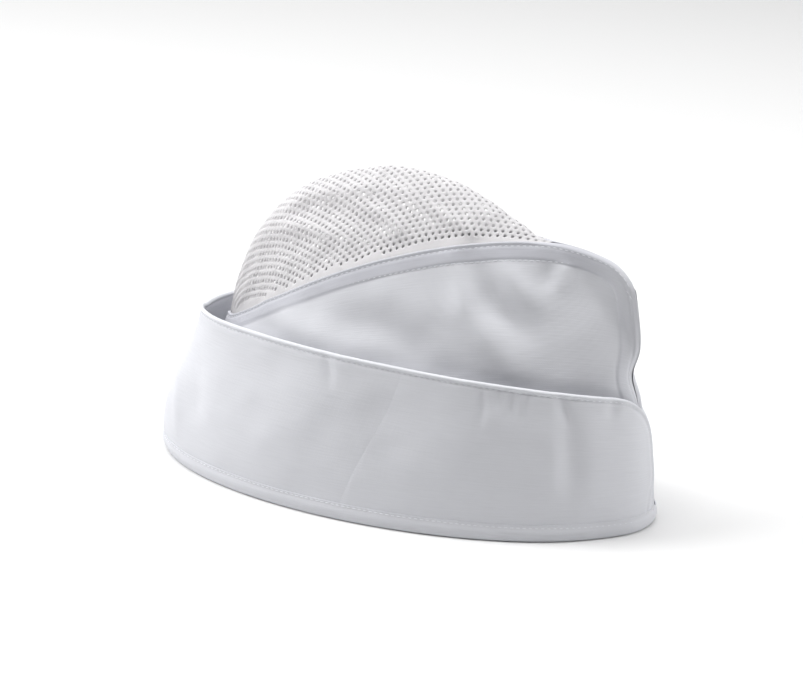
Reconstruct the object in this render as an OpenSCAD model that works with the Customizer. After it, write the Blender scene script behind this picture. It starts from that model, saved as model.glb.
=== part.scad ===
// Kitchen side cap: a boat-shaped cap of two cloth crown panels with an airy mesh
// dome sewn between their top edges, and a tall cuff turned up all round it.
// The cap stands on its hem. +X is the front, where the two cuff ends lap over each
// other, -Y is the wearer's right, and +Z is up. The origin is on the ground at the
// middle of the cap's box. All sizes are in millimetres.

/* [Head opening] */
// Half of the hem's length, front to back
half_length = 120; // [114:1:126]
// Half of the hem's width
half_width = 58.5; // [55:0.5:62]

/* [Heights] */
// Height of the turned-up cuff at its sides
cuff_height = 72; // [68:1:76]
// Height of the crown panels' top edge at its highest point
crown_height = 126; // [120:1:132]
// How far the mesh dome rises above the panels' top edges
dome_rise = 50; // [44:1:56]

/* [Cloth] */
// Thickness of the twill cloth, folded once at its edges
cloth = 0.5; // [0.4:0.05:0.5]
// Thickness of the perforated mesh cloth
mesh_cloth = 0.5; // [0.4:0.05:0.5]
// Thickness of the stiffening interlining inside the cuff
interlining_cloth = 0.35; // [0.3:0.05:0.4]
// Air between the cuff's lining and the crown panels at the hem
cuff_clearance = 1; // [0.8:0.1:1.5]

/* [Bands and tapes] */
// Height of the binding round the hem
hem_band = 8; // [6:0.5:8]
// Height of the sweatband inside the cap
sweatband_height = 30; // [26:1:34]
// Width of the tape behind the crown panels' top edges
tape_width = 8; // [7:0.5:9]

/* [Stitching] */
// Width of a line of stitches
thread_width = 0.6; // [0.5:0.1:0.8]
// How far the stitches stand proud of the cloth
thread_height = 0.25; // [0.2:0.05:0.3]

/* [Hidden] */

twill_colour = [0.90, 0.91, 0.94];
mesh_colour = [0.94, 0.93, 0.94];
interlining_colour = [0.84, 0.86, 0.88];
thread_colour = [0.97, 0.97, 0.99];

// Every sheet lies on one of two smooth surfaces, the cuff or the crown. A surface is
// a net of control points for one half of the cap: four rows from the hem to the top
// edge, and six columns from the back to the front. x is a share of the half length,
// y a share of the half width, and z a share of the surface's height.
// Both start as one half oval: how far along the cap each column stands, and how wide.
oval_along = [0, 0, 0.25, 0.75, 1, 1];
oval_wide = [0, 0.57, 1.3, 1.3, 0.6, 0];
// A row runs from its back end to its front end. It can be straighter than the oval.
function row_along(back, front, straight) = [
    for (i = [0:5])
        back + (front - back) * (oval_along[i] * (1 - straight) + i / 5 * straight)
];
function between(first, second, share) = first * (1 - share) + second * share;
// Share of the height that each row has reached
level = [0, 0.3, 0.67, 1];

// The cuff: where each row ends, how wide it is, and the height of its top edge. Its
// back bulges out low down and then leans in.
cuff_back_end = [-1.03, -1.12, -0.89, -0.88];
cuff_front_end = [1, 1.01, 1, 0.96];
cuff_width = [1, 1, 0.9, 0.8];
cuff_edge = [0.96, 1.02, 1.1, 1, 0.95, 0.82];
cuff_x = [for (r = [0:3]) row_along(cuff_back_end[r], cuff_front_end[r], 0)];
cuff_y = [for (r = [0:3]) oval_wide * cuff_width[r]];
cuff_z = [for (r = [0:3]) cuff_edge * level[r]];

// The crown: its rows turn from the oval into the opening for the mesh, which closes
// in a ridge at the front, and its top edge climbs from the back
crown_back_end = [-1.02, -0.97, -0.86, -0.79];
crown_front_end = [0.99, 0.98, 1.01, 0.93];
crown_straight = [0, 0, 0, 0.4];
crown_turn = [0, 0.15, 0.5, 1];
opening_wide = [0, 0.36, 0.72, 0.42, -0.38, 0];
crown_edge = [0.53, 0.52, 0.93, 1.1, 1, 0.92];
crown_x = [for (r = [0:3]) row_along(crown_back_end[r], crown_front_end[r], crown_straight[r])];
crown_y = [for (r = [0:3]) between(oval_wide, opening_wide, crown_turn[r])];
crown_z = [for (r = [0:3]) crown_edge * level[r]];
// The dome's centre line above the panels' edges, from the back tip to the junction:
// steep at the back, then a long slope down
dome_x = [0, 0, 0, 0.15, 0.1, 0];
dome_z = [0, 1.5, 0.8, 1.2, -0.1, 0];
// The dome leans to the left. Its cross section has one control point by the right
// panel's edge and one by the left: how far out, as a share of the edge's distance
// from the middle, and how high, as a share of the centre line's rise.
dome_out = [0.4, 1];
dome_up = [0.5, 2];

// Moves the cap so that its box is centred on the origin
centre_shift = 1.9;
// Half the gap between the panels along the front ridge, which their seam tape fills
ridge_half = 1.5;
// How softly the panels turn into that gap
ridge_round = 2;
// Smallest distance from a panel to the cap's middle plane
seam_half = 0.05;
// Where the two panels meet at the top, as a share of the way to the front
junction = 0.75;

// A slice of air between two layers of cloth
air = 0.05;
// A line of stitches lies this far over the cloth, clear of its facets
stitch_lift = 0.2;
// Depths of the layers, counted outwards from the cuff's or the crown's surface
interlining_face = -cloth - air;
lining_face = interlining_face - interlining_cloth - air;
cuff_back_face = lining_face - cloth;
tape_face = -cloth - 2 * air;
mesh_face = tape_face - cloth - air;
band_face = tape_face - cloth - 2 * air;
crown_inset = cuff_clearance - cuff_back_face;
// Height at which the layers start, on the fold of the binding
fold = cloth + air;

// Both ends of the cuff run on past the front's middle, the right one over the left
lap = 1.7;
right_end = 1.015;
left_end = 1.02;
// Slant of the cuff's side seams from the hem to the top edge, and how far in front
// of the middle they stand
seam_lean = 0.06;
seam_forward = 0.02;
// Distances of the stitches from the edges
edge_stitch = 2;
hem_stitch = hem_band - 1;

// Columns of the net: equal steps, with short ones round the right end's corner
step = 1 / 32;
half_columns = [for (i = [0:32]) i * step];
corner_columns = [1.005, 1.01, 1.0135, right_end];
front_columns = [for (i = [16:32]) i * step];
cuff_rows = [0, 0.12, 0.26, 0.4, 0.55, 0.7, 0.85, 1];
crown_rows = [0, 0.1, 0.22, 0.34, 0.46, 0.58, 0.7, 0.8, 0.88, 0.94, 1];

function cubic(x) = [(1 - x)^3, 3 * x * (1 - x)^2, 3 * x^2 * (1 - x), x^3];
function quintic(x) = [
    (1 - x)^5, 5 * x * (1 - x)^4, 10 * x^2 * (1 - x)^3,
    10 * x^3 * (1 - x)^2, 5 * x^4 * (1 - x), x^5
];
function unit(v) = v / norm(v);
function clamp(x, low, high) = min(high, max(low, x));
function smooth(x) = let (c = clamp(x, 0, 1)) c * c * (3 - 2 * c);
// The greater of two lengths, with the change from one to the other rounded off
function soft_max(a, b, round) = (a + b + sqrt((a - b)^2 + round^2)) / 2;
function joined(lists) = [for (l = lists) each l];
function backwards(list) = [for (i = [len(list) - 1:-1:0]) list[i]];

// Points of the two surfaces for the right half, s from back to front, t upwards
function cuff_base(s, t) = let (
    slant = seam_forward + seam_lean * (t - 0.5),
    slanted = s + slant * max(0, 1 - abs(s - 0.5) / 0.25),
    up = cubic(t),
    along = quintic(slanted)
) [
    half_length * (up * cuff_x * along) + centre_shift,
    -half_width * (up * cuff_y * along),
    cuff_height * (up * cuff_z * along)
];
function crown_base(s, t) = let (
    up = cubic(t * crown_top(s)),
    along = quintic(s),
    closing = t * smooth(s * 2)
) [
    (half_length - crown_inset) * (up * crown_x * along) + centre_shift,
    -soft_max(
        ridge_half * closing,
        (half_width - crown_inset) * (up * crown_y * along),
        ridge_round * closing
    ),
    crown_height * (up * crown_z * along)
];

// Outward direction of a surface, from its slopes along and up
nudge = 0.002;
function outward(base, s, t) = let (
    along = base(s + nudge, t) - base(s - nudge, t),
    up = base(s, t + nudge) - base(s, t - nudge),
    n = cross(along, up)
) unit(s == 0 ? [n[0], 0, n[2]] : n);

// A point at depth n over a surface. A negative s is the same place on the left half.
function over(base, s, t, n) = base(abs(s), t) + n * outward(base, abs(s), t);
function lap_at(s) = s > 0 ? lap * smooth((s - 0.84) / 0.12) : 0;
function cuff_at(s, t, n) = let (p = over(function (a, b) cuff_base(a, b), s, t, n + lap_at(s)))
    [p[0], sign(s) * p[1], max(fold, p[2])];
function crown_at(s, t, n) = let (p = over(function (a, b) crown_base(a, b), s, t, n))
    [p[0], (s < 0 ? -1 : 1) * min(-seam_half, p[1]), max(fold, p[2])];

// The top edges, as shares of the nets: the crown panels' front corners are rounded
// off, and the cuff's are rounded down to its two ends, the left one far down
function corner(s, start, end, drop) = let (w = clamp((s - start) / (end - start), 0, 1))
    1 - drop * (1 - sqrt(1 - w * w));
function crown_top(s) = corner(s, 0.9, 1, 0.085);
function cuff_top(s) = s < 0
    ? max(0.1, corner(-s, 0.5, left_end, 0.97))
    : corner(s, 0.8925, right_end, 0.27);
// Shares of a surface's height for a distance from its hem or below its top edge
function cuff_share(height) = 1.08 * height / cuff_height;
function crown_share(height) = 1.1 * height / crown_height;
function crown_depth(s, depth) = 1 - depth / (crown_base(abs(s), 1)[2] * 1.05);

// Joins cross sections of an even number of points into one solid. The first half of
// a section runs up the outside, and the second half comes down the inside.
module loft(sections, ring = false) {
    count = len(sections);
    size = len(sections[0]);
    half = size / 2;
    sides = [
        for (i = [0:ring ? count - 1 : count - 2]) for (j = [0:size - 1])
            let (
                a = i * size + j,
                b = i * size + (j + 1) % size,
                c = ((i + 1) % count) * size + (j + 1) % size,
                d = ((i + 1) % count) * size + j
            )
            each j < half - 1 ? [[a, b, d], [b, c, d]] : [[a, b, c], [a, c, d]]
    ];
    last = (count - 1) * size;
    caps = ring ? [] : [
        for (j = [0:half - 2])
            let (a = j, b = j + 1, c = size - 2 - j, d = size - 1 - j)
            each [
                [a, d, b], [b, d, c],
                [last + a, last + b, last + d], [last + b, last + c, last + d]
            ]
    ];
    polyhedron(points = joined(sections), faces = concat(sides, caps));
}

// Cross section of a sheet on the cuff or the crown, between two depths
function cuff_section(s, face, thickness) = concat(
    [for (t = cuff_rows) cuff_at(s, t * cuff_top(s), face)],
    [for (t = backwards(cuff_rows)) cuff_at(s, t * cuff_top(s), face - thickness)]
);
function crown_section(s, rows, face, thickness) = concat(
    [for (t = rows) crown_at(s, t, face)],
    [for (t = backwards(rows)) crown_at(s, t, face - thickness)]
);
function right_columns() = concat(front_columns, corner_columns);
function left_columns() = concat([-left_end], [for (i = [32:-1:16]) -i * step]);
function back_columns() = [for (i = [-16:16]) i * step];
function all_cuff_columns() = concat(
    [for (s = left_columns()) if (s < -0.5) s],
    back_columns(),
    [for (s = right_columns()) if (s > 0.5) s]
);
// Once round the head opening, and back to the place before the start
function ring_columns() = concat(
    [for (i = [0:32]) i * step],
    [for (i = [31:-1:1]) -i * step]
);

// One side's cloth panel, from the hem up to the mesh and the front ridge
module crown_panel() {
    color(twill_colour)
        loft([for (s = half_columns) crown_section(s, crown_rows, 0, cloth)]);
}
module crown_panel_right() { crown_panel(); }
module crown_panel_left() { mirror([0, 1, 0]) crown_panel(); }

// The mesh: a seam allowance behind each panel, and an arch from edge to edge
mesh_columns = concat([0.01], [for (s = half_columns) if (s > 0 && s <= junction) s]);
arch_steps = 14;
function arch(s, face, thinner) = let (
    q = s / junction,
    edge = crown_at(s, 1, face),
    along = quintic(q),
    rise = [half_length * (dome_x * along), 0, dome_rise * (dome_z * along)],
    shorter = max(0.2, 1 - thinner / max(1, norm(rise)))
) [
    for (i = [0:arch_steps])
        let (
            b = cubic(i / arch_steps),
            lift = shorter * (dome_up[0] * b[1] + dome_up[1] * b[2])
        )
        [
            edge[0] + rise[0] * lift,
            edge[1] * (b[0] + dome_out[0] * b[1] - dome_out[1] * b[2] - b[3]),
            edge[2] + rise[2] * lift
        ]
];
function mesh_path(s, face, thinner) = let (
    depths = [for (depth = [tape_width, tape_width / 2]) crown_depth(s, depth)]
) concat(
    [for (t = depths) crown_at(s, t, face)],
    arch(s, face, thinner),
    [for (t = backwards(depths)) crown_at(-s, t, face)]
);
module mesh_crown() {
    color(mesh_colour)
        loft([
            for (s = mesh_columns)
                concat(
                    mesh_path(s, mesh_face, 0),
                    backwards(mesh_path(s, mesh_face - mesh_cloth, mesh_cloth))
                )
        ]);
}

// The tape that faces a panel's top edge on the inside
module top_tape() {
    color(twill_colour)
        loft([
            for (s = half_columns)
                if (s > 0 && s < 0.99)
                    crown_section(
                        s,
                        [crown_depth(s, tape_width + 1), crown_depth(s, tape_width / 2), crown_depth(s, 0.5)],
                        tape_face, cloth
                    )
        ]);
}
module top_tape_right() { top_tape(); }
module top_tape_left() { mirror([0, 1, 0]) top_tape(); }

// The folded tape that stands in the seam along the front ridge and the top
ridge_path = concat(
    [for (t = [0.3:0.1:0.95]) crown_base(1, t)],
    [for (s = [1:-step:junction + 1.5 * step]) crown_base(s, 1)]
);
ridge_tape_start = 1.2;
ridge_tape_width = 6;
module ridge_tape() {
    last = len(ridge_path) - 1;
    color(twill_colour)
        loft([
            for (i = [0:last])
                let (
                    p = ridge_path[i],
                    way = ridge_path[min(last, i + 1)] - ridge_path[max(0, i - 1)],
                    inward = unit([-way[2], 0, way[0]]),
                    near = [p[0], 0, p[2]] + inward * ridge_tape_start,
                    far = [p[0], 0, p[2]] + inward * (ridge_tape_start + ridge_tape_width),
                    side = [0, cloth, 0]
                )
                [near + side, near - side, far - side, far + side]
        ]);
}

// The tape over the back seam, on the inside
module back_tape() {
    color(twill_colour)
        loft([
            for (s = [-step, 0, step])
                crown_section(s, [for (t = crown_rows) if (t > 0 && t < 0.9) t], tape_face - air, cloth)
        ]);
}

// The cuff's outer cloth, in three pieces that meet at slanted side seams
module cuff_cloth(columns) {
    color(twill_colour)
        loft([for (s = columns) cuff_section(s, 0, cloth)]);
}
module cuff_front_right() { cuff_cloth(right_columns()); }
module cuff_front_left() { cuff_cloth(left_columns()); }
module cuff_back() { cuff_cloth(back_columns()); }

// The stiffener and the lining run in one strip from one end of the cuff to the other
module cuff_interlining() {
    color(interlining_colour)
        loft([for (s = all_cuff_columns()) cuff_section(s, interlining_face, interlining_cloth)]);
}
module cuff_lining() {
    color(twill_colour)
        loft([for (s = all_cuff_columns()) cuff_section(s, lining_face, cloth)]);
}

// The binding folded round the raw edges of the crown and the cuff
function hem_lap(s) = s < 0 ? lap * smooth((-s - 0.93) / 0.04) : 0;
function on_ground(p) = [p[0], p[1], 0];
module hem_binding() {
    cuff_low = cuff_share(hem_band);
    crown_low = crown_share(hem_band);
    color(twill_colour)
        loft([
            for (s = ring_columns())
                let (
                    out = hem_lap(s),
                    face = out + air + cloth,
                    back = out + air
                )
                [
                    crown_at(s, crown_low, tape_face - cloth),
                    on_ground(crown_at(s, 0, tape_face - cloth)),
                    on_ground(cuff_at(s, 0, face)),
                    cuff_at(s, cuff_low, face),
                    cuff_at(s, cuff_low, back),
                    cuff_at(s, 0, back),
                    crown_at(s, 0, tape_face),
                    crown_at(s, crown_low, tape_face)
                ]
        ], ring = true);
}

// The sweatband inside the head opening
module sweatband() {
    top = crown_share(sweatband_height);
    color(twill_colour)
        loft([
            for (s = ring_columns())
                crown_section(s, [0.015, top / 3, top * 2 / 3, top], band_face, cloth)
        ], ring = true);
}

// A line of stitches through a list of [point, outward direction], at a depth
module stitches(line, depth, ring = false) {
    last = len(line) - 1;
    color(thread_colour)
        loft([
            for (i = [0:last])
                let (
                    before = line[ring ? (i + last) % (last + 1) : max(0, i - 1)][0],
                    after = line[ring ? (i + 1) % (last + 1) : min(last, i + 1)][0],
                    out = line[i][1],
                    up = unit(cross(out, after - before)) * thread_width / 2,
                    low = line[i][0] + out * depth,
                    high = low + out * thread_height
                )
                [high - up, high + up, low + up, low - up]
        ], ring = ring);
}
function mirrored(n, s) = s < 0 ? [n[0], -n[1], n[2]] : n;
function on_cuff(s, t, n = 0) =
    [cuff_at(s, t, n), mirrored(outward(function (a, b) cuff_base(a, b), abs(s), t), s)];
function on_crown(s, t) =
    [crown_at(s, t, 0), mirrored(outward(function (a, b) crown_base(a, b), abs(s), t), s)];

// Two rows along a panel's top edge, and one down beside the front ridge
front_row_top = 0.9;
module crown_stitching() {
    for (depth = [edge_stitch, tape_width])
        stitches([for (s = half_columns) if (s > 0 && s < 0.99) on_crown(s, crown_depth(s, depth))], stitch_lift);
    stitches([for (t = [0.1:0.1:front_row_top]) on_crown(0.96 - 0.06 * t, t)], stitch_lift);
}
module crown_stitching_right() { crown_stitching(); }
module crown_stitching_left() { mirror([0, 1, 0]) crown_stitching(); }

// One row along the cuff's top edge, which on the right goes on down the cuff's end
cuff_inset = 0.011;
function below_top(s) = cuff_top(s) - cuff_share(edge_stitch);
module cuff_stitching_right() {
    last = right_end - cuff_inset;
    along = [for (s = half_columns) on_cuff(s, below_top(s))];
    down = [for (t = [0.72:-0.1:0.1]) on_cuff(last, t)];
    stitches(concat(along, down), stitch_lift);
}
module cuff_stitching_left() {
    beside_lap = [-0.97, -0.955];
    along = concat(beside_lap, [for (i = [30:-1:0]) -i * step]);
    stitches([for (s = along) on_cuff(s, below_top(s))], stitch_lift);
}

// The row that holds the binding, and the row that holds the sweatband
module hem_stitching() {
    stitches(
        [for (s = ring_columns()) on_cuff(s, cuff_share(hem_stitch), hem_lap(s))],
        cloth + air + stitch_lift, ring = true
    );
}
module sweatband_stitching() {
    row = crown_share(sweatband_height - edge_stitch);
    stitches(
        [for (s = ring_columns()) on_crown(s, row)],
        band_face - cloth - stitch_lift - thread_height, ring = true
    );
}

crown_panel_right();
crown_panel_left();
mesh_crown();
top_tape_right();
top_tape_left();
ridge_tape();
back_tape();
cuff_front_right();
cuff_front_left();
cuff_back();
cuff_interlining();
cuff_lining();
hem_binding();
sweatband();
crown_stitching_right();
crown_stitching_left();
cuff_stitching_right();
cuff_stitching_left();
hem_stitching();
sweatband_stitching();
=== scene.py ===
import math

import bpy
import numpy as np
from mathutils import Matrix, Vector


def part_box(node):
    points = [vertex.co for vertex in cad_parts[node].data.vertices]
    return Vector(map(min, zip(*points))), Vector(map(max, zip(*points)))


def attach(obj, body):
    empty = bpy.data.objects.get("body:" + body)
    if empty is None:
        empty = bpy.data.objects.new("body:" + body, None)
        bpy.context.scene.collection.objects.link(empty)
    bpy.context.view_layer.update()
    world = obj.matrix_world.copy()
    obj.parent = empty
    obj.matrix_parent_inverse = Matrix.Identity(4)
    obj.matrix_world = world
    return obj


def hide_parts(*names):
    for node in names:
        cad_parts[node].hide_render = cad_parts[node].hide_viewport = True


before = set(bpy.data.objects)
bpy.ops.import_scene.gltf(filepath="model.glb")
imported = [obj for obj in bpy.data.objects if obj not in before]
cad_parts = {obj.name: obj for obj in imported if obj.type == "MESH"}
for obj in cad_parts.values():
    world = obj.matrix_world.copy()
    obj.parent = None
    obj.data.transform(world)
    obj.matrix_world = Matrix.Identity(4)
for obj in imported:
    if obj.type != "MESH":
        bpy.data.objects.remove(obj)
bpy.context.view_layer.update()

# ---------------------------------------------------------------- surfaces
# The cap's two smooth surfaces, as in the CAD: nets of shares, rows from the hem up
# and columns from the back to the front. A place on one is (s, t): s runs from 0 at the
# back to 1 at the front, and is negative on the left half, and t runs from 0 at the hem
# to 1 at the top edge. All working lengths are millimetres.
# Both surfaces start as one half oval.
OVAL_ALONG = np.array([0, 0, 0.25, 0.75, 1, 1])
OVAL_WIDE = np.array([0, 0.57, 1.3, 1.3, 0.6, 0])
LEVEL = (0, 0.3, 0.67, 1)


def row_along(back, front, straight):
    """A row's columns, from its back end to its front end, as the oval or straighter."""
    return back + (front - back) * (OVAL_ALONG * (1 - straight) + np.linspace(0, 1, 6) * straight)


CUFF_EDGE = np.array([0.96, 1.02, 1.1, 1, 0.95, 0.82])
CUFF_X = np.array([
    row_along(*r) for r in ((-1.03, 1, 0), (-1.12, 1.01, 0), (-0.89, 1, 0), (-0.88, 0.96, 0))
])
CUFF_Y = np.array([OVAL_WIDE * w for w in (1, 1, 0.9, 0.8)])
CUFF_Z = np.array([CUFF_EDGE * h for h in LEVEL])
OPENING = np.array([0, 0.36, 0.72, 0.42, -0.38, 0])
CROWN_EDGE = np.array([0.53, 0.52, 0.93, 1.1, 1, 0.92])
CROWN_X = np.array([
    row_along(*r)
    for r in ((-1.02, 0.99, 0), (-0.97, 0.98, 0), (-0.86, 1.01, 0), (-0.79, 0.93, 0.4))
])
CROWN_Y = np.array([OVAL_WIDE * (1 - k) + OPENING * k for k in (0, 0.15, 0.5, 1)])
CROWN_Z = np.array([CROWN_EDGE * h for h in LEVEL])
DOME_X = np.array([0, 0, 0, 0.15, 0.1, 0])
DOME_Z = np.array([0, 1.5, 0.8, 1.2, -0.1, 0])
DOME_OUT, DOME_UP = (0.4, 1.0), (0.5, 2.0)
DOME_ABOUT = 50  # near enough to the dome's rise to find its highest place
JUNCTION = 0.75  # where the panels' top edges meet and the ridge begins
SIDE_SEAM, SEAM_SHIFT, SEAM_SLANT, SEAM_REACH = 0.5, 0.02, 0.06, 0.25
RIGHT_END, LEFT_END = 1.015, 1.02  # the cuff's two ends, both just past the front
LAP = 1.7  # how far the right end stands off, over the left one
HALF_ROUND, CUFF_ROUND = 300, 310  # about how far it is round one half of the cap
CLOTH, STIFF, AIR = 0.5, 0.35, 0.05  # the layers' thicknesses and the air between them
# How deep the layers' outer faces lie under the outer cloth
LINING = -CLOTH - AIR - STIFF - AIR
TAPE = -CLOTH - 2 * AIR
MESH = TAPE - CLOTH - AIR
BAND = TAPE - CLOTH - 2 * AIR
HALF = (CLOTH - LINING) / 2
# The widths of the binding, the edge stitching, the doubled bands and the sweatband
HEM, EDGE, TAPE_WIDTH, SWEATBAND = 8.0, 2.0, 8.0, 30.0


def cubic(x):
    return np.stack([(1 - x) ** 3, 3 * x * (1 - x) ** 2, 3 * x * x * (1 - x), x**3], -1)


def quintic(x):
    y = 1 - x
    return np.stack(
        [y**5, 5 * x * y**4, 10 * x**2 * y**3, 10 * x**3 * y**2, 5 * x**4 * y, x**5], -1
    )


def on_net(net, s, t):
    return np.einsum("...i,ij,...j->...", cubic(t), net, quintic(s))


def smooth(x):
    x = np.clip(x, 0, 1)
    return x * x * (3 - 2 * x)


def hump(x, wide):
    return np.exp(-((x / wide) ** 2))


def unit(v):
    return v / np.maximum(np.linalg.norm(v, axis=-1, keepdims=True), 1e-12)


def slanted(s, t):
    """Moves the places near a side seam along, so that the seam slants."""
    near = np.maximum(0, 1 - np.abs(s - SIDE_SEAM) / SEAM_REACH)
    return s + (SEAM_SHIFT + SEAM_SLANT * (t - 0.5)) * near


def corner(s, start, end, drop):
    """A top edge's height share: 1 up to start, then rounded off by drop at end."""
    w = np.clip((s - start) / (end - start), 0, 1)
    return 1 - drop * (1 - np.sqrt(1 - w * w))


def crown_top(s):
    return corner(s, 0.9, 1, 0.085)


def cuff_top(s):
    left = np.maximum(0.1, corner(-s, 0.5, LEFT_END, 0.97))
    return np.where(s < 0, left, corner(s, 0.8925, RIGHT_END, 0.27))


def box_mm(node):
    low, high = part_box(node)
    return np.array(low) * 1000, np.array(high) * 1000


# Sizes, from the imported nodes' boxes
S, T = np.meshgrid(np.linspace(0, 1, 33), np.linspace(0, 1, 60), indexing="ij")
SL, TL = np.meshgrid(np.linspace(0.5, LEFT_END, 33), np.linspace(0, 1, 60), indexing="ij")
early = S <= 0.5
back_low, back_high = box_mm("cuff_back")
left_high = box_mm("cuff_front_left")[1]
panel_low, panel_high = box_mm("crown_panel_right")
least = on_net(CUFF_X, S, T)[early].min()
LENGTH = (left_high[0] - back_low[0]) / (on_net(CUFF_X, SL, TL * cuff_top(-SL)).max() - least)
SHIFT = back_low[0] - LENGTH * least
WIDTH = (back_high[1] - back_low[1]) / 2 / on_net(CUFF_Y, slanted(S, T), T)[early].max()
CUFF = back_high[2] / on_net(CUFF_Z, slanted(S, T), T)[early].max()
share_x = on_net(CROWN_X, S, T)
CROWN_LENGTH = (panel_high[0] - panel_low[0]) / (share_x.max() - share_x.min())
CROWN_WIDTH = -panel_low[1] / on_net(CROWN_Y, S, T).max()
CROWN = panel_high[2] / on_net(CROWN_Z, S, T).max()
q = np.linspace(0, 1, 200)
edge_z = CROWN * on_net(CROWN_Z, q * JUNCTION, np.ones_like(q))
dome_z = quintic(q) @ DOME_Z
peak = np.argmax(edge_z + DOME_ABOUT * dome_z)
DOME = (box_mm("mesh_crown")[1][2] - edge_z[peak]) / dome_z[peak]


def cuff_base(s, t):
    a = slanted(s, t)
    return np.stack(
        [
            LENGTH * on_net(CUFF_X, a, t) + SHIFT,
            -WIDTH * on_net(CUFF_Y, a, t),
            CUFF * on_net(CUFF_Z, a, t),
        ],
        -1,
    )


def crown_base(s, t):
    closing = t * smooth(s * 2)
    t = t * crown_top(s)
    gap, y = 1.5 * closing, CROWN_WIDTH * on_net(CROWN_Y, s, t)
    return np.stack(
        [
            CROWN_LENGTH * on_net(CROWN_X, s, t) + SHIFT,
            -(gap + y + np.sqrt((gap - y) ** 2 + (2 * closing) ** 2)) / 2,
            CROWN * on_net(CROWN_Z, s, t),
        ],
        -1,
    )


def outward(base, s, t):
    h = 0.002
    n = unit(np.cross(base(s + h, t) - base(s - h, t), base(s, t + h) - base(s, t - h)))
    n[..., 1] = np.where(s < 1e-9, 0, n[..., 1])
    return unit(n)


def both(s, t):
    s, t = np.broadcast_arrays(np.asarray(s, float), np.asarray(t, float))
    return s, t


# ---------------------------------------------------------------- folds
# A fold is a line of (x, z) places on one side of the cap, how wide it is, and how
# far it stands out (or sinks in, if negative). Its ends fade away.
CROWN_FOLDS_RIGHT = [
    ([(32, 117), (42, 96), (58, 80), (76, 66)], 6.5, 2.6),
    ([(-30, 88), (4, 85), (29, 77), (54, 66)], 8, -2.4),
    ([(39, 117), (53, 100), (67, 90), (82, 80)], 5.5, -2.2),
    ([(48, 119), (62, 107), (80, 94)], 5, 1.8),
    ([(72, 119), (75, 104)], 3.5, -1.1),
    ([(79, 119), (82, 103)], 4, 1.0),
    ([(-58, 78), (-24, 72), (12, 63)], 9, 1.5),
    ([(92, 112), (98, 84), (96, 62)], 9, 1.0),
]
CROWN_FOLDS_LEFT = [
    ([(20, 119), (30, 96), (44, 78), (50, 62)], 7, 2.2),
    ([(28, 118), (46, 98), (62, 82)], 6, -1.8),
    ([(-50, 84), (-18, 88), (12, 82)], 9, -1.9),
    ([(58, 116), (72, 98), (90, 84)], 6, 1.5),
]
CUFF_FOLDS_RIGHT = [
    ([(-17, 75), (-14, 66), (-12, 56)], 2.6, -0.8),
    ([(57, 70), (59, 59), (58, 48)], 2.2, -1.0),
    ([(66, 69), (65, 57)], 1.7, -0.6),
    ([(71, 69), (71, 53)], 1.8, -0.8),
    ([(77, 69), (77, 51)], 1.9, -0.8),
    ([(89, 70), (92, 60), (97, 48)], 2.2, -1.1),
    ([(109, 67), (109, 52)], 1.9, -0.8),
    ([(115, 63), (114, 51)], 1.7, -0.5),
    ([(86, 62), (89, 39), (90, 10)], 7, 1.2),
    ([(93, 60), (96, 43), (98, 12)], 4.5, -1.2),
    ([(101, 66), (104, 42), (105, 10)], 6, 0.9),
    ([(-13, 66), (-32, 41), (-53, 12)], 14, 1.4),
    ([(16, 66), (14, 41), (26, 16)], 13, -1.4),
    ([(46, 66), (50, 43), (44, 16)], 11, 0.8),
    ([(-112, 56), (-107, 34), (-102, 8)], 4, 1.5),
    ([(-99, 62), (-92, 34), (-88, 8)], 7, -1.4),
]
CUFF_FOLDS_LEFT = [
    ([(-60, 74), (-52, 40), (-58, 10)], 12, 1.2),
    ([(-6, 76), (4, 50), (-2, 20)], 13, -1.2),
    ([(44, 70), (52, 40), (48, 12)], 10, 1.0),
    ([(24, 75), (25, 61)], 2.0, -0.8),
    ([(66, 69), (68, 54)], 2.0, -0.8),
    ([(-34, 78), (-33, 65)], 2.0, -0.7),
    ([(84, 58), (92, 32), (94, 10)], 6, -1.0),
]
CREASES = [
    ([(53, -7), (95, -25), (127, -37)], 3.4, 1.7),
    ([(102, -12), (131, -20), (160, -34)], 3.4, 1.7),
    ([(136, -10), (170, -14), (200, -20)], 3.2, 1.3),
    ([(48, -4), (74, -4), (102, -7), (136, -6), (162, -6)], 4.5, 1.6),
    ([(80, -9), (108, -17), (140, -30)], 5.0, -0.8),
    ([(70, 16), (110, 20), (150, 12)], 6.0, -1.4),
]


def folds(places, listed):
    out = np.zeros(places.shape[:-1])
    for line, wide, high in listed:
        line = np.array(line, float)
        lengths = np.linalg.norm(np.diff(line, axis=0), axis=1)
        total, before = lengths.sum(), 0.0
        best, along = np.full(out.shape, 1e9), np.zeros(out.shape)
        for a, b, run in zip(line[:-1], line[1:], lengths):
            k = np.clip(((places - a) @ (b - a)) / run**2, 0, 1)
            d = np.linalg.norm(places - a - k[..., None] * (b - a), axis=-1)
            closer = d < best
            best = np.where(closer, d, best)
            along = np.where(closer, before + k * run, along)
            before += run
        start, end = smooth(along / (0.35 * total)), smooth((total - along) / (0.5 * total))
        out += high * hump(best, wide) * (0.3 + 0.7 * start) * end
    return out


rng = np.random.default_rng(11)
WAVES = [(rng.uniform(0.1, 0.42), rng.uniform(0, math.pi), rng.uniform(0, 6.3)) for _ in range(12)]


def ripple(places, high):
    """A faint unevenness of the cloth, everywhere."""
    x, y = places[..., 0], places[..., 1]
    waves = [np.sin(k * (x * math.cos(a) + y * math.sin(a)) + b) for k, a, b in WAVES]
    return high * sum(waves) / math.sqrt(len(WAVES))


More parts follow.
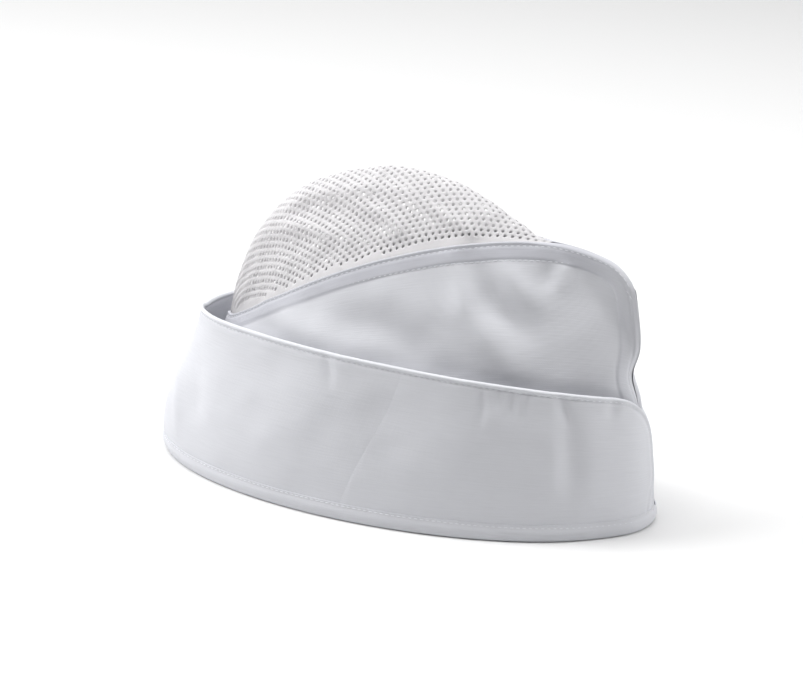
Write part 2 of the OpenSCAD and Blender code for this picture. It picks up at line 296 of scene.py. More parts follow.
def side_folds(p, s, right, left, faint):
    places = p[..., [0, 2]] - [SHIFT, 0]
    sided = np.where(s > 0, folds(places, right), folds(places, left))
    return sided * smooth(np.abs(s) / 0.06) + ripple(places, faint)


def seam_groove(a):
    """The cuff's side seams: a fine groove between two slightly raised allowances."""
    d = (a - SIDE_SEAM) * HALF_ROUND
    return 0.03 * hump(np.abs(d) - 2.6, 1.6) - 0.07 * hump(d, 0.7)


def cuff(s, t, n=0.0):
    """Points at depth n over the cuff's surface. A negative s is on the left half."""
    s, t = both(s, t)
    a = np.abs(s)
    p = cuff_base(a, t)
    extra = side_folds(p, s, CUFF_FOLDS_RIGHT, CUFF_FOLDS_LEFT, 0.16) + seam_groove(a)
    extra = extra * smooth(t / 0.14)
    extra = extra + np.where(s > 0, LAP * smooth((s - 0.84) / 0.12), 0)
    p = p + (n + extra)[..., None] * outward(cuff_base, a, t)
    p[..., 1] *= np.where(s < 0, -1, 1)
    p[..., 2] = np.maximum(p[..., 2], CLOTH + AIR)
    return p


def pinch(p, a):
    """The ridge is nipped in above the cuff."""
    return -4 * hump(p[..., 2] - 69, 9) * smooth((a - 0.86) / 0.14)


def crown(s, t, n=0.0):
    s, t = both(s, t)
    a = np.abs(s)
    p = crown_base(a, t)
    extra = side_folds(p, s, CROWN_FOLDS_RIGHT, CROWN_FOLDS_LEFT, 0.16)
    extra = extra * smooth(t / 0.3) * smooth(a / 0.06) * smooth((1 - a) / 0.05)
    pull = pinch(p, a)
    p = p + (n + extra)[..., None] * outward(crown_base, a, t)
    p[..., 0] += pull
    p[..., 1] = np.minimum(-0.05, p[..., 1]) * np.where(s < 0, -1, 1)
    p[..., 2] = np.maximum(p[..., 2], CLOTH + AIR)
    return p


def facing(base, s, t):
    s, t = both(s, t)
    n = outward(base, np.abs(s), t)
    n[..., 1] *= np.where(s < 0, -1, 1)
    return n


def cuff_share(mm):
    return 1.08 * mm / CUFF


def crown_share(mm):
    return 1.1 * mm / CROWN


def crown_depth(s, mm):
    return 1 - mm / (CROWN * on_net(CROWN_Z, np.abs(s), np.ones_like(s)) * 1.05)


# ---------------------------------------------------------------- mesh building
made = {}


def walk(points):
    """Running length along each row of points."""
    run = np.linalg.norm(np.diff(points, axis=0), axis=-1)
    return np.concatenate([np.zeros((1,) + run.shape[1:]), np.cumsum(run, 0)])


def add_mesh(name, points, faces, uv=None, shade=None, sharp=50):
    """A new object from millimetre points and faces, facing outwards."""
    mesh = bpy.data.meshes.new(name)
    points = np.asarray(points, float)
    faces = np.asarray(faces, int)
    a, b, c = (points[faces[:, k]] for k in range(3))
    volume = (a * np.cross(b, c)).sum()
    if faces.shape[1] == 4:
        volume += (a * np.cross(c, points[faces[:, 3]])).sum()
    if volume < 0:
        faces = faces[:, ::-1]
    count = faces.shape[1]
    mesh.vertices.add(len(points))
    mesh.vertices.foreach_set("co", (points * 0.001).astype(np.float32).ravel())
    mesh.loops.add(faces.size)
    mesh.loops.foreach_set("vertex_index", faces.astype(np.int32).ravel())
    mesh.polygons.add(len(faces))
    mesh.polygons.foreach_set("loop_start", np.arange(0, faces.size, count, dtype=np.int32))
    mesh.polygons.foreach_set("use_smooth", np.ones(len(faces), bool))
    mesh.update(calc_edges=True)
    mesh.validate()
    if uv is not None:
        layer = mesh.uv_layers.new(name="cloth")
        layer.data.foreach_set("uv", (uv[faces] * 0.001).astype(np.float32).ravel())
    # shade: painted shade for the panels' doubled band, read by the twill material
    if shade is not None:
        layer = mesh.attributes.new("shade", "FLOAT", "POINT")
        layer.data.foreach_set("value", shade.astype(np.float32))
    mesh.set_sharp_from_angle(angle=math.radians(sharp))
    o = bpy.data.objects.new(name, mesh)
    bpy.context.scene.collection.objects.link(o)
    made[name] = o
    return o


def shell_faces(rows, columns, ring):
    """Faces of a closed shell: rows x columns points outside, then as many inside."""
    inner = rows * columns
    i = np.arange(rows if ring else rows - 1)[:, None]
    j = np.arange(columns - 1)[None]
    a = (i * columns + j).ravel()
    b = (((i + 1) % rows) * columns + j).ravel()
    out = np.stack([a, a + 1, b + 1, b], 1)
    inside = np.stack([a, b, b + 1, a + 1], 1) + inner
    rims = []
    i = np.arange(rows if ring else rows - 1)
    for k, flip in ((0, 1), (columns - 1, 0)):
        a, b = i * columns + k, ((i + 1) % rows) * columns + k
        quad = np.stack([a, b, b + inner, a + inner], 1)
        rims.append(quad[:, ::-1] if flip else quad)
    if not ring:
        j = np.arange(columns - 1)
        for k, flip in ((0, 0), ((rows - 1) * columns, 1)):
            a = k + j
            quad = np.stack([a, a + 1, a + 1 + inner, a + inner], 1)
            rims.append(quad[:, ::-1] if flip else quad)
    return np.concatenate([out, inside, *rims])


def shell(name, outside, inside, uv, shade=None, ring=False):
    """A closed sheet between two grids. Its length laid flat is worked out, and not kept."""
    rows, columns = outside.shape[:2]
    middle = (outside + inside) / 2
    walk(middle.transpose(1, 0, 2))[-1].max() / 1000
    points = np.concatenate([outside.reshape(-1, 3), inside.reshape(-1, 3)])
    uv = np.concatenate([uv.reshape(-1, 2)] * 2)
    if shade is not None:
        shade = np.concatenate([shade.ravel()] * 2)
    return add_mesh(name, points, shell_faces(rows, columns, ring), uv, shade)


def to_line(points, line):
    """Distance from each point to a polyline."""
    flat = points.reshape(-1, 3)
    out = np.empty(len(flat))
    for k in range(0, len(flat), 4000):
        block = flat[k : k + 4000]
        near = ((block[:, None] - line[None]) ** 2).sum(-1).argmin(1)
        best = np.full(len(block), 1e9)
        for a in (np.maximum(near - 1, 0), np.minimum(near, len(line) - 2)):
            p, d = line[a], line[a + 1] - line[a]
            share = ((block - p) * d).sum(1) / np.maximum((d * d).sum(1), 1e-12)
            foot = p + np.clip(share, 0, 1)[:, None] * d
            best = np.minimum(best, np.linalg.norm(block - foot, axis=1))
        out[k : k + 4000] = best
    return out.reshape(points.shape[:-1])


def roll(e, radius):
    """How a folded edge rounds off: 0 at the edge, rising to 1 at a radius from it."""
    return np.sqrt(np.clip(1 - (1 - np.clip(e / radius, 0, 1)) ** 2, 0, 1))


# ---------------------------------------------------------------- cuff
def spaced(start, end, stride, fine, narrow):
    """Places from start to end, a stride apart, and down to narrow near the fine ones."""
    out, x = [start], start
    while x < end - 1e-9:
        near = min(abs(x - f) for f in fine)
        x = min(end, x + np.clip(near * 0.3, narrow, stride))
        out.append(x)
    return np.array(out)


cuff_heights = spaced(0, CUFF, 1.7, (5.0, CUFF - 2.0, CUFF), 0.3) / CUFF
right_edge = np.concatenate([
    np.stack([np.linspace(0, RIGHT_END, 500), cuff_top(np.linspace(0, RIGHT_END, 500))], 1),
    np.stack([np.full(70, RIGHT_END), np.linspace(cuff_top(np.array(RIGHT_END)), 0, 70)], 1),
])
left_edge = np.concatenate([
    np.stack([-np.linspace(0, LEFT_END, 500), cuff_top(-np.linspace(0, LEFT_END, 500) - 1e-9)], 1),
    np.stack([np.full(20, -LEFT_END), np.linspace(cuff_top(np.array(-LEFT_END)), 0, 20)], 1),
])
free_edge = np.concatenate([left_edge[::-1], right_edge])
free_line = cuff(free_edge[:, 0], free_edge[:, 1])


def swell(e):
    """The cuff's edge is a fat rolled bead, with its stitches in the groove below it."""
    return 0.45 * hump(e - 1.0, 1.1) - 0.35 * hump(e - EDGE - 0.3, 0.5) + 0.15 * hump(e - 4.4, 1.4)


def cuff_grid(columns):
    s = columns[:, None] + 0 * cuff_heights[None]
    t = cuff_heights[None] * cuff_top(s)
    return s, t


def cuff_uv(s, t):
    p = cuff(s, t)
    along = walk(p[:, len(cuff_heights) // 2])
    along -= np.interp(0, s[:, 0], along)
    return np.stack([along[:, None] + 0 * t, t * CUFF], -1)


def cuff_layer(name, columns, side):
    """The cuff's outer cloth (side 1), stiffener (0) or lining (-1)."""
    s, t = cuff_grid(columns)
    e = to_line(cuff(s, t), free_line)
    rounded = roll(e, 1.0)
    puff = swell(e)
    middle = -HALF
    if side == 1:
        outer = middle + (HALF + puff) * rounded + 0.02
        inner = middle + np.maximum(HALF + puff - CLOTH, 0.05) * rounded
    elif side == 0:
        outer = middle + STIFF / 2 + 0 * e
        inner = middle - STIFF / 2 + 0 * e
    else:
        outer = middle - np.maximum(HALF + puff - CLOTH, 0.05) * rounded
        inner = middle - (HALF + puff) * rounded - 0.02
    return shell(name, cuff(s, t, outer), cuff(s, t, inner), cuff_uv(s, t))


coarse, close = 1.1 / CUFF_ROUND, 0.3 / CUFF_ROUND
front_right = spaced(SIDE_SEAM, RIGHT_END, coarse, (RIGHT_END,), close)
front_left = -spaced(SIDE_SEAM, LEFT_END, coarse, (LEFT_END,), close)[::-1]
round_back = np.linspace(-SIDE_SEAM, SIDE_SEAM, 241)
whole = np.concatenate([front_left[:-1], round_back, front_right[1:]])
cuff_layer("cuff_front_right_cloth", front_right, 1)
cuff_layer("cuff_front_left_cloth", front_left, 1)
cuff_layer("cuff_back_cloth", round_back, 1)
cuff_layer("cuff_stiffener", whole[1:-1], 0)
cuff_layer("cuff_lining_cloth", whole, -1)

# ---------------------------------------------------------------- hem
ring = np.concatenate([np.linspace(0, 1, 220), -np.linspace(1, 0, 220)[1:-1]])
TURN, TURN_OUT = 1.2, 0.10  # where the binding starts to turn under, and how far out


def hem_lap(s):
    return np.where(s < 0, LAP * smooth((-s - 0.93) / 0.04), 0)


def over_hem(s, path, thick):
    """One face of the binding: up the crown inside, under the hem, and up the cuff."""
    out = []
    for kind, height, n in path:
        if kind == "crown":
            p = crown(s, crown_share(height) + 0 * s, TAPE - thick)
        else:
            p = cuff(s, cuff_share(height) + 0 * s, n + thick + hem_lap(s))
        p[..., 2] = height
        out.append(p)
    return np.stack(out, 1)


# The binding's rows: which surface, how high, and how far out from it. The outer face
# puffs up, and is drawn in again along its stitches.
inner_rows = [("crown", h, 0) for h in (HEM, 6.5, 5, 3.5, 2.2, TURN)]
outer_rows = [("cuff", h, n) for h, n in (
    (TURN, TURN_OUT), (2, 0.3), (3, 0.5), (4, 0.6), (5, 0.5), (5.8, 0.25), (6.4, 0.0),
    (6.8, -0.12), (7.2, -0.12), (7.6, -0.1), (HEM, -0.12),
)]


def hem_turn(s, thick):
    """The rounded underside, from the crown's side to the cuff's side."""
    a = over_hem(s, [("crown", TURN, 0)], thick)[:, 0]
    b = over_hem(s, [("cuff", TURN, TURN_OUT)], thick)[:, 0]
    rows = []
    for k in np.linspace(0, math.pi, 9)[1:-1]:
        share = (1 - math.cos(k)) / 2
        p = a + (b - a) * share
        p[..., 2] = TURN - (TURN - (CLOTH - thick)) * math.sin(k) ** 0.6
        rows.append(p)
    return np.stack(rows, 1)


def binding_face(thick):
    inner, outer = (over_hem(ring, rows, thick) for rows in (inner_rows, outer_rows))
    return np.concatenate([inner, hem_turn(ring, thick), outer], 1)


hem_out, hem_in = binding_face(CLOTH), binding_face(0.02)
across = walk(hem_out.transpose(1, 0, 2)).T
along = walk(hem_out[:, 0])
shell(
    "hem_binding_cloth", hem_out, hem_in,
    np.stack([along[:, None] + 0 * across, across], -1), ring=True,
)

# ---------------------------------------------------------------- crown panels
crown_heights = spaced(0, CROWN, 1.9, (CROWN - 8.0, CROWN - 2.0, CROWN), 0.3) / CROWN
top_s = np.linspace(0, 1, 500)
panel_edge = np.concatenate([
    np.stack([top_s, np.ones(500)], 1),
    np.stack([np.ones(200), np.linspace(1, 0, 200)], 1),
])
panel_line = crown(panel_edge[:, 0] + 1e-9, panel_edge[:, 1])


def panel_band(e):
    """The doubled band under the panel's edge, pinched by its two rows of stitches."""
    band = 0.35 * smooth((TAPE_WIDTH + 0.6 - e) / 1.0)
    stitched = band - 0.25 * hump(e - EDGE, 0.6) - 0.2 * hump(e - TAPE_WIDTH, 0.6)
    return stitched + 0.15 * hump(e - 0.6, 0.8)


def panel(name, side):
    columns = spaced(0, 1, 1.3 / HALF_ROUND, (1.0,), 0.3 / HALF_ROUND)
    s, t = np.meshgrid(columns, crown_heights, indexing="ij")
    s = np.maximum(s, 1e-9)
    e = to_line(crown(s, t), panel_line)
    joined = smooth((s - JUNCTION + 0.055) / 0.06) * smooth(t * 4)
    reach = 0.55 + joined * 1.4
    edge = roll(e, 0.8 + joined * 1.4)
    puff = panel_band(e) * smooth(t * 5)
    outer = -reach + (reach + puff) * edge
    inner = np.minimum(outer - 0.05, -reach + (reach + puff - CLOTH) * edge)
    out, back = crown(s * side, t, outer), crown(s * side, t, inner)
    uv = np.stack([walk(out[:, 20])[:, None] + 0 * t, t * CROWN], -1)
    # painted shade on the doubled band under the panel's edge, weaker towards the ridge
    shade = smooth((TAPE_WIDTH + 0.5 - e) / 0.8) * (1 - 0.75 * smooth((s - 0.8) / 0.15))
    return shell(name, out, back, uv, shade)


panel("crown_right_cloth", 1)
panel("crown_left_cloth", -1)

# ---------------------------------------------------------------- tapes and sweatband
def crown_strip(name, columns, low_t, high_t, count, face, side=1, closed=False):
    s = columns[:, None] + 0 * np.arange(count)[None]
    k = np.linspace(0, 1, count)[None]
    t = low_t[:, None] + (high_t - low_t)[:, None] * k
    out, back = crown(s * side, t, face), crown(s * side, t, face - CLOTH)
    uv = np.stack([walk(out[:, 0])[:, None] + 0 * t, t * CROWN], -1)
    return shell(name, out, back, uv, ring=closed)


tape_s = np.linspace(0.012, 0.985, 190)
for side, name in ((1, "top_facing_right"), (-1, "top_facing_left")):
    crown_strip(
        name, tape_s, crown_depth(tape_s, TAPE_WIDTH + 1), crown_depth(tape_s, 1.0), 9, TAPE, side
    )
crown_strip(
    "sweatband_cloth", ring, 0.015 + 0 * ring, crown_share(SWEATBAND) + 0 * ring, 24, BAND,
    closed=True,
)
back_s = np.array([-1, -0.6, -0.2, 0.2, 0.6, 1]) / 32
crown_strip("back_seam_tape", back_s, 0.05 + 0 * back_s, 0.9 + 0 * back_s, 60, TAPE - AIR)

ridge = np.concatenate([
    crown_base(np.ones(60), np.linspace(0.3, 0.97, 60)),
    crown_base(np.linspace(1, JUNCTION + 0.045, 50), np.ones(50)),
])
ridge[:, 0] += pinch(ridge, np.ones(len(ridge)))
way = np.gradient(ridge, axis=0)
inward = unit(np.stack([-way[:, 2], 0 * way[:, 0], way[:, 0]], -1))
ridge[:, 1] = 0
depth = np.linspace(2.0, 8.0, 6)
tape = ridge[:, None] + inward[:, None] * depth[None, :, None]
uv = np.stack([walk(ridge)[:, None] + 0 * depth, depth[None] + 0 * walk(ridge)[:, None]], -1)
shell("ridge_seam_tape", tape - [0, CLOTH, 0], tape + [0, CLOTH, 0], uv)

# ---------------------------------------------------------------- mesh crown
ARCH_STEPS, TABLE_STEPS = 120, 160  # across the dome and along it
ARCH = np.linspace(0, 1, ARCH_STEPS + 1)


def arch(q_, v):
    """A point on the mesh: q from the back tip to the junction, v from right to left."""
    edge = crown(np.maximum(q_ * JUNCTION, 1e-6), np.ones_like(q_), MESH)
    along_, b = quintic(q_), cubic(v)
    lift = DOME_UP[0] * b[..., 1] + DOME_UP[1] * b[..., 2]
    out = b[..., 0] + DOME_OUT[0] * b[..., 1] - DOME_OUT[1] * b[..., 2] - b[..., 3]
    return np.stack(
        [
            edge[..., 0] + LENGTH * (along_ @ DOME_X) * lift,
            edge[..., 1] * out,
            edge[..., 2] + DOME * (along_ @ DOME_Z) * lift,
        ],
        -1,
    )


# A flat plan of the mesh: u runs along its middle and w across it. A hole narrows from
# its rim to its throat.
ACROSS, ALONG, RIM, THROAT, MARGIN = 3.25, 2.81, 1.12, 0.68, 8.0
SOLID_RIM, SOLID_END = 3.6, 3  # no holes this near to the edge or to either end
RIM_DEPTH, THROAT_DEPTH = -0.04, -0.3
table_q = np.linspace(0.0, 1.0, TABLE_STEPS + 1)
TQ, TV = np.meshgrid(table_q, ARCH, indexing="ij")
table = arch(TQ, TV)
middle = ARCH_STEPS // 2
centre = walk(table[:, middle])
lengths = walk(table.transpose(1, 0, 2)).T
lengths -= lengths[:, middle : middle + 1]
LONG = centre[-1]


def mesh_place(u, w, n):
    """Where a place of the flat plan is in the cap, and how far it is from the edge."""
    q_ = np.interp(u, centre, table_q)
    k = np.clip(q_ * TABLE_STEPS, 0, TABLE_STEPS - 0.001)
    i = k.astype(int)
    right, left = (
        lengths[i, e] * (1 - k + i) + lengths[i + 1, e] * (k - i) for e in (0, -1)
    )
    span = np.where(w > 0, left, -right)
    reach = np.clip(w, np.minimum(right, -0.2), np.maximum(left, 0.2))
    v = np.empty_like(w)
    for c in range(TABLE_STEPS):
        at = i == c
        if at.any():
            v[at] = np.interp(reach[at], lengths[c], ARCH)
    past = np.clip(np.abs(w) - span, 0, MARGIN)
    room_ = np.maximum(span - np.abs(w), -past)
    h = 1e-3
    p = arch(q_, v)
    du = arch(np.clip(q_ + h, 0, 1), v) - arch(np.clip(q_ - h, 0, 1), v)
    dv = arch(q_, np.clip(v + h, 0, 1)) - arch(q_, np.clip(v - h, 0, 1))
    normal = unit(np.cross(du, dv))
    places = np.stack([u, w], -1)
    soft = folds(places, CREASES) + ripple(places, 0.3)
    faded = soft * smooth(room_ / 9) * smooth(u / 16) * smooth((LONG - u) / 16)
    p = p + (n + faded)[:, None] * normal
    s_ = np.maximum(q_ * JUNCTION, 1e-6)
    hidden = crown(np.where(w > 0, -s_, s_), crown_depth(s_, past), MESH + n)
    return np.where((past > 0)[:, None], hidden, p), room_


columns_ = int(LONG / ALONG)
rows_ = int((np.abs(lengths[:, [0, -1]]).max() + MARGIN) / ACROSS) + 1
cells = np.array([
    ((c + 0.25) * ALONG, (r + 0.5 * (c % 2)) * ACROSS)
    for c in range(columns_ + 1)
    for r in range(-rows_, rows_ + 1)
])
# each cell: 12 points round its border, shared with its neighbours, 12 round its hole's
# rim and 12 round its throat
corners = np.array([(2, 0), (1, 1.5), (-1, 1.5), (-2, 0), (-1, -1.5), (1, -1.5)]) / 3
ringed = np.stack([corners, (corners + np.roll(corners, -1, 0)) / 2], 1).reshape(12, 2)
ringed = ringed * [ALONG, ACROSS]
turn = np.arctan2(ringed[:, 1], ringed[:, 0])
hole = np.stack([np.cos(turn), np.sin(turn)], 1)
flat_border = (cells[:, None] + ringed[None]).reshape(-1, 2)
flat_rim = (cells[:, None] + hole[None] * RIM).reshape(-1, 2)
flat_throat = (cells[:, None] + hole[None] * THROAT).reshape(-1, 2)
keys = np.round(flat_border / [ALONG / 6, ACROSS / 4]).astype(int)
_, first, shared = np.unique(keys, axis=0, return_index=True, return_inverse=True)
flat = np.concatenate([flat_border[first], flat_rim, flat_throat, cells])
shared = shared.reshape(-1, 12)
count_b, count_h = len(first), len(flat_rim)
sunk = np.repeat([0, RIM_DEPTH, THROAT_DEPTH], [count_b, count_h, count_h + len(cells)])
held_u = np.clip(flat[:, 0], 0, LONG)
bottom, room = mesh_place(held_u, flat[:, 1], -CLOTH)
room_cell = room[count_b + 2 * count_h :]
inland = (cells[:, 0] > SOLID_END) & (cells[:, 0] < LONG - SOLID_END)
open_cell = (room_cell > SOLID_RIM) & inland
keep_cell = (room_cell > -MARGIN + 0.01) & (cells[:, 0] > 0) & (cells[:, 0] < LONG)
every = len(flat)
shut = np.concatenate([0 * first, *[np.repeat(~open_cell, 12)] * 2, ~open_cell]).astype(bool)
top, _ = mesh_place(held_u, flat[:, 1], np.where(shut, 0.0, sunk))


def cell_faces(which):
    """The faces round a cell's hole, on both sides, and its wall or its filling."""
    a = shared[which]
    rim = count_b + which[:, None] * 12 + np.arange(12)
    loops = [(a, np.roll(a, -1, 1)), (rim, np.roll(rim, -1, 1))]
    throat = rim + count_h
    loops.append((throat, np.roll(throat, -1, 1)))
    quads = [np.stack([p[0], p[1], q_[1], q_[0]], -1) for p, q_ in zip(loops, loops[1:])]
    quads.append(np.stack([loops[0][0], loops[2][0], loops[2][1], loops[0][1]], -1) + every)
    opened = open_cell[which]
    x, y = loops[2]
    wall = np.stack([x, y, y + every, x + every], -1)[opened]
    middle = np.repeat((count_b + 2 * count_h + which)[:, None], 6, 1)
    x, y, z = throat[:, 0::2], throat[:, 1::2], np.roll(throat, -2, 1)[:, 0::2]
    fill = [np.stack([x, y, z, middle], -1), np.stack([x, middle, z, y], -1) + every]
    quads += [wall] + [f[~opened] for f in fill]
    return np.concatenate([f.reshape(-1, 4) for f in quads])


faces = cell_faces(np.flatnonzero(keep_cell))
one_way = np.concatenate([faces[:, [k, (k + 1) % 4]] for k in range(4)])
one_way = one_way[(one_way < every).all(1)]
code, back_code = one_way @ [every, 1], one_way @ [1, every]
rim_edges = one_way[~np.isin(code, back_code)]
faces = np.concatenate([faces, np.concatenate([rim_edges[:, ::-1], rim_edges + every], 1)])
used, inverse = np.unique(faces, return_inverse=True)
add_mesh(
    "mesh_crown_cloth", np.concatenate([top, bottom])[used], inverse.reshape(-1, 4),
    np.concatenate([flat, flat])[used], sharp=180,
)


# ---------------------------------------------------------------- stitches
def stitch_row(points, normals, pitch=2.7, length=2.0, wide=0.42, high=0.22):
    """Separate stitches along a line: each is a short rounded bar, sunk at its ends."""
    run = walk(points)
    count = max(1, int(run[-1] / pitch))
    at = (np.arange(count)[:, None] + 0.5) * run[-1] / count + np.linspace(-0.5, 0.5, 5) * length
    p, n = (
        np.stack([np.interp(at, run, v[:, c]) for c in range(3)], -1) for v in (points, normals)
    )
    n = unit(n)
    side = unit(np.cross(n, unit(np.gradient(p, axis=1))))
    fat = np.array([0.35, 0.85, 1, 0.85, 0.35])[:, None, None]
    sink = np.array([-0.12, 0.02, 0.06, 0.02, -0.12])[:, None, None]
    around = np.linspace(0, 2 * math.pi, 8, endpoint=False)[:, None]
    spots = (
        p[:, :, None]
        + side[:, :, None] * np.cos(around) * wide / 2 * fat
        + n[:, :, None] * (sink + np.sin(around) * high * fat)
    )
    one = [
        (m * 8 + j, m * 8 + (j + 1) % 8, m * 8 + 8 + (j + 1) % 8, m * 8 + 8 + j)
        for m in range(4) for j in range(8)
    ]
    for quad in ((0, 1, 2, 3), (0, 3, 4, 7), (4, 5, 6, 7)):
        one += [quad[::-1], tuple(32 + k for k in quad)]
    faces_ = np.array(one)[None] + 40 * np.arange(count)[:, None, None]
    return spots.reshape(-1, 3), faces_.reshape(-1, 4)


def looped(line):
    """A closed row's points, with the first one again at the end."""
    return np.concatenate([line, line[:1]])


def stitches(name, lines):
    points_, faces_, start = [], [], 0
    for line, normals in lines:
        p, f = stitch_row(line, normals)
        points_.append(p)
        faces_.append(f + start)
        start += len(p)
    p = np.concatenate(points_)
    return add_mesh(name, p, np.concatenate(faces_), p[:, [0, 2]], sharp=180)


def cuff_row(s, t, n=0.0):
    return cuff(s, t, n), facing(cuff_base, s, t)


def crown_row(s, t, n=0.0):
    return crown(s, t, n), facing(crown_base, s, t)


DEEP = -0.2
s_ = np.linspace(0.001, RIGHT_END - 0.012, 1200)
top_row = cuff_row(s_, cuff_top(s_) - cuff_share(EDGE + 0.2), DEEP)
end_row = cuff_row(np.full(200, RIGHT_END - 0.011), np.linspace(0.76, 0.09, 200), DEEP)
stitches("cuff_stitches_right", [top_row, end_row])
s_ = -np.linspace(0.97, 0.001, 1000)
stitches("cuff_stitches_left", [cuff_row(s_, cuff_top(s_) - cuff_share(EDGE + 0.2), DEEP)])
for side, name in ((1, "crown_stitches_right"), (-1, "crown_stitches_left")):
    s_ = np.linspace(0.01, 0.985, 1200)
    lines = [crown_row(s_ * side, crown_depth(s_, d), 0.08) for d in (EDGE, TAPE_WIDTH)]
    t_ = np.linspace(0.1, 0.9, 400)
    lines.append(crown_row((0.96 - 0.06 * t_) * side, t_))
    stitches(name, lines)
line, normals = cuff_row(ring, cuff_share(HEM - 1) + 0 * ring, CLOTH - 0.12 + hem_lap(ring))
stitches("hem_stitches", [(looped(line), looped(normals))])
line, normals = crown_row(ring, crown_share(SWEATBAND - EDGE) + 0 * ring, BAND - CLOTH - 0.02)
stitches("sweatband_stitches", [(looped(line), -looped(normals))])


# ---------------------------------------------------------------- materials
def new_material(name, colour, rough, sheen):
    m = bpy.data.materials.new(name + "_look")
    m.use_nodes = True
    p = m.node_tree.nodes["Principled BSDF"]
    p.inputs["Base Color"].default_value = (*colour, 1)
    p.inputs["Roughness"].default_value = rough
    p.inputs["Sheen Weight"].default_value = sheen
    p.inputs["Sheen Roughness"].default_value = 0.5
    p.inputs["Specular IOR Level"].default_value = 0.2
    return m


class Nodes:
    """Short ways to add and join shader nodes."""

    def __init__(self, material):
        self.tree = material.node_tree
        self.shader = self.tree.nodes["Principled BSDF"]
        uv = self.tree.nodes.new("ShaderNodeUVMap")
        uv.uv_map = "cloth"
        self.uv = uv.outputs["UV"]

    def link(self, a, b):
        self.tree.links.new(a, b)

    def scaled(self, x, y, turn=0.0):
        n = self.tree.nodes.new("ShaderNodeMapping")
        n.inputs["Scale"].default_value = (x, y, 1)
        n.inputs["Rotation"].default_value = (0, 0, turn)
        self.link(self.uv, n.inputs["Vector"])
        return n.outputs["Vector"]

    def noise(self, place, detail=2.0):
        n = self.tree.nodes.new("ShaderNodeTexNoise")
        n.inputs["Scale"].default_value = 1
        n.inputs["Detail"].default_value = detail
        self.link(place, n.inputs["Vector"])
        return n.outputs["Fac"]

    def wave(self, place, axis):
        n = self.tree.nodes.new("ShaderNodeTexWave")
        n.bands_direction = axis
        n.inputs["Scale"].default_value = 1
        self.link(place, n.inputs["Vector"])
        return n.outputs["Fac"]

    def math(self, kind, a, b):
        n = self.tree.nodes.new("ShaderNodeMath")
        n.operation = kind
        for socket, value in zip(n.inputs, (a, b)):
            if isinstance(value, (int, float)):
                socket.default_value = value
            else:
                self.link(value, socket)
        return n.outputs["Value"]

    def mix(self, factor, dark, light):
        n = self.tree.nodes.new("ShaderNodeMix")
        n.data_type = "RGBA"
        self.link(factor, n.inputs["Factor"])
        n.inputs["A"].default_value = (*dark, 1)
        n.inputs["B"].default_value = (*light, 1)
        return n.outputs["Result"]

    def bump(self, height, distance):
        n = self.tree.nodes.new("ShaderNodeBump")
        n.inputs["Distance"].default_value = distance
        n.inputs["Strength"].default_value = 1
        self.link(height, n.inputs["Height"])
        self.link(n.outputs["Normal"], self.shader.inputs["Normal"])


WAVE = 2 * math.pi / 20  # a wave texture's bands lie this far apart at scale 1
BAND_PAINTED_SHADE = (0.80, 0.80, 0.82)  # painted shade: what the panels' doubled band is darkened by, as two layers let less light through than one


def twill_material(name, colour):
    """Fine crosswise ribs with slubs, and a doubled band darkened by painted shade, as two layers
    let less light through than one.
    """
    m = new_material(name, colour, 0.9, 0.12)
    n = Nodes(m)
    rib = n.wave(n.scaled(0, WAVE / 0.00045), "Y")
    diagonal = n.wave(n.scaled(WAVE / 0.00062, WAVE / 0.00062, 0.9), "X")
    slub = n.noise(n.scaled(70, 1500), 3.0)
    patch = n.noise(n.scaled(45, 60), 2.0)
    dark = tuple(c * 0.93 for c in colour)
    light = tuple(min(0.97, c * 1.05) for c in colour)
    unevenness = n.math("ADD", n.math("MULTIPLY", slub, 0.75), n.math("MULTIPLY", patch, 0.25))
    # the doubled band's painted shade, from the shade attribute
    shade = n.tree.nodes.new("ShaderNodeAttribute")
    shade.attribute_name = "shade"
    band = n.tree.nodes.new("ShaderNodeMix")
    band.data_type, band.blend_type = "RGBA", "MULTIPLY"
    band.inputs["B"].default_value = (*BAND_PAINTED_SHADE, 1)
    n.link(shade.outputs["Fac"], band.inputs["Factor"])
    n.link(n.mix(unevenness, dark, light), band.inputs["A"])
    n.link(band.outputs["Result"], n.shader.inputs["Base Color"])
    height = n.math("ADD", n.math("MULTIPLY", rib, 0.4), n.math("MULTIPLY", diagonal, 0.3))
    n.bump(n.math("ADD", height, n.math("MULTIPLY", slub, 0.8)), 0.00009)
    return m


def mesh_material(name, colour):
    """Knitted polyester: a little light comes through it."""
    m = new_material(name, colour, 0.85, 0.1)
    n = Nodes(m)
    loops = n.noise(n.scaled(1400, 1400), 2.0)
    patch = n.noise(n.scaled(60, 60), 2.0)
    tone = n.mix(patch, tuple(c * 0.97 for c in colour), tuple(min(0.97, c * 1.02) for c in colour))
    n.link(tone, n.shader.inputs["Base Color"])
    n.bump(loops, 0.00012)
    through = n.tree.nodes.new("ShaderNodeBsdfTranslucent")
    through.inputs["Color"].default_value = (*colour, 1)
    both_ = n.tree.nodes.new("ShaderNodeMixShader")
    both_.inputs["Fac"].default_value = 0.5
    n.link(n.shader.outputs["BSDF"], both_.inputs[1])
    n.link(through.outputs["BSDF"], both_.inputs[2])
    n.link(both_.outputs["Shader"], n.tree.nodes["Material Output"].inputs["Surface"])
    return m


twill = twill_material("twill", (0.725, 0.732, 0.77))
net = mesh_material("mesh", (0.955, 0.945, 0.955))
stiff = new_material("interlining", (0.75, 0.77, 0.79), 0.9, 0.0)
thread = new_material("thread", (0.84, 0.85, 0.89), 0.6, 0.2)

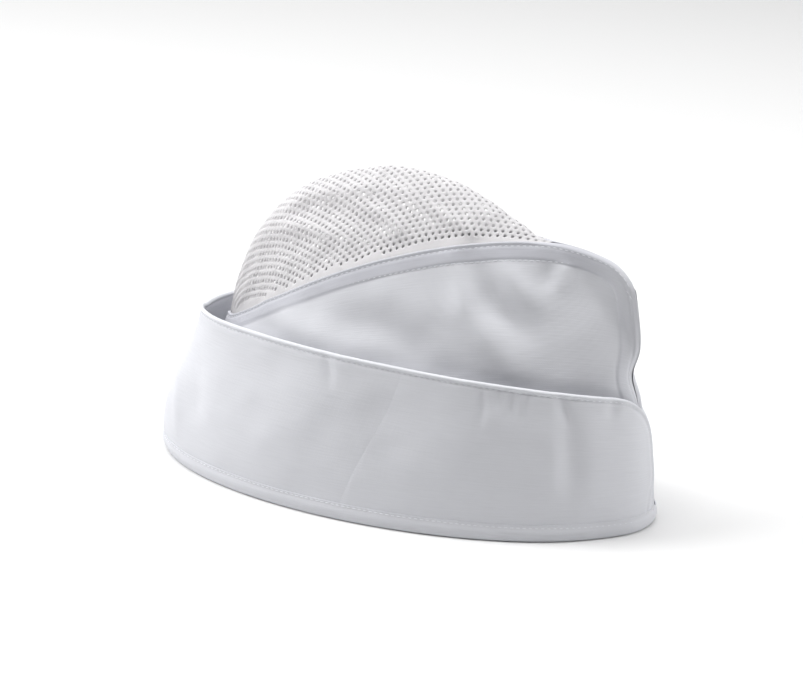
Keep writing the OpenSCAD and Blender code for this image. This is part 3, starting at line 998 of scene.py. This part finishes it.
PIECES = {
    "crown_right_cloth": ("crown_panel_right", twill),
    "crown_left_cloth": ("crown_panel_left", twill),
    "mesh_crown_cloth": ("mesh_crown", net),
    "top_facing_right": ("top_tape_right", twill),
    "top_facing_left": ("top_tape_left", twill),
    "ridge_seam_tape": ("ridge_tape", twill),
    "back_seam_tape": ("back_tape", twill),
    "cuff_front_right_cloth": ("cuff_front_right", twill),
    "cuff_front_left_cloth": ("cuff_front_left", twill),
    "cuff_back_cloth": ("cuff_back", twill),
    "cuff_stiffener": ("cuff_interlining", stiff),
    "cuff_lining_cloth": ("cuff_lining", twill),
    "hem_binding_cloth": ("hem_binding", twill),
    "sweatband_cloth": ("sweatband", twill),
    "crown_stitches_right": ("crown_stitching_right", thread),
    "crown_stitches_left": ("crown_stitching_left", thread),
    "cuff_stitches_right": ("cuff_stitching_right", thread),
    "cuff_stitches_left": ("cuff_stitching_left", thread),
    "hem_stitches": ("hem_stitching", thread),
    "sweatband_stitches": ("sweatband_stitching", thread),
}
for name, (node, material) in PIECES.items():
    o = made[name]
    o.data.materials.append(material)
    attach(o, "root")
    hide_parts(node)


# ---------------------------------------------------------------- floor, light, camera
bpy.ops.mesh.primitive_plane_add(size=12, location=(0, 0, 0))
floor = bpy.context.active_object
floor.name = "floor"
floor_material = new_material("floor", (0.84, 0.84, 0.84), 0.9, 0)
floor.data.materials.append(floor_material)

world = bpy.data.worlds.new("studio")
bpy.context.scene.world = world
world.use_nodes = True
world.node_tree.nodes["Background"].inputs["Color"].default_value = (1, 1, 1, 1)
world.node_tree.nodes["Background"].inputs["Strength"].default_value = 0.06


LIT = Vector((0, 0, 0.06))  # what every light points at


def area(name, place, size, power):
    """A square light, size metres wide."""
    light = bpy.data.lights.new(name, "AREA")
    light.shape = "RECTANGLE"
    light.size = light.size_y = size
    light.energy = power
    o = bpy.data.objects.new(name, light)
    o.location = place
    o.rotation_euler = (LIT - Vector(place)).to_track_quat("-Z", "Y").to_euler()
    bpy.context.scene.collection.objects.link(o)


area("overhead", (-0.1, 0.1, 1.6), 1.2, 20)
area("above_left", (-1.0, -0.3, 1.5), 0.7, 14)
area("above_right", (0.9, 0.1, 1.5), 0.7, 4)
area("left", (-1.6, -0.2, 0.7), 0.8, 13)
area("right", (1.4, 0.55, 0.6), 0.8, 9)

camera = bpy.data.cameras.new("camera")
camera.sensor_width = 36
camera.lens = 138
camera.clip_start, camera.clip_end = 0.05, 50
eye = bpy.data.objects.new("camera", camera)
azimuth, elevation, distance = math.radians(27), math.radians(20), 1.40
towards = Vector((
    math.sin(azimuth) * math.cos(elevation),
    -math.cos(azimuth) * math.cos(elevation),
    math.sin(elevation),
))
aim = Vector(((SHIFT - 2.4) / 1000, 0, 0.066))
eye.location = aim + towards * distance
eye.rotation_euler = (-towards).to_track_quat("-Z", "Y").to_euler()
bpy.context.scene.collection.objects.link(eye)
bpy.context.scene.camera = eye
bpy.context.scene.view_settings.view_transform = "Standard"

bpy.context.view_layer.update()
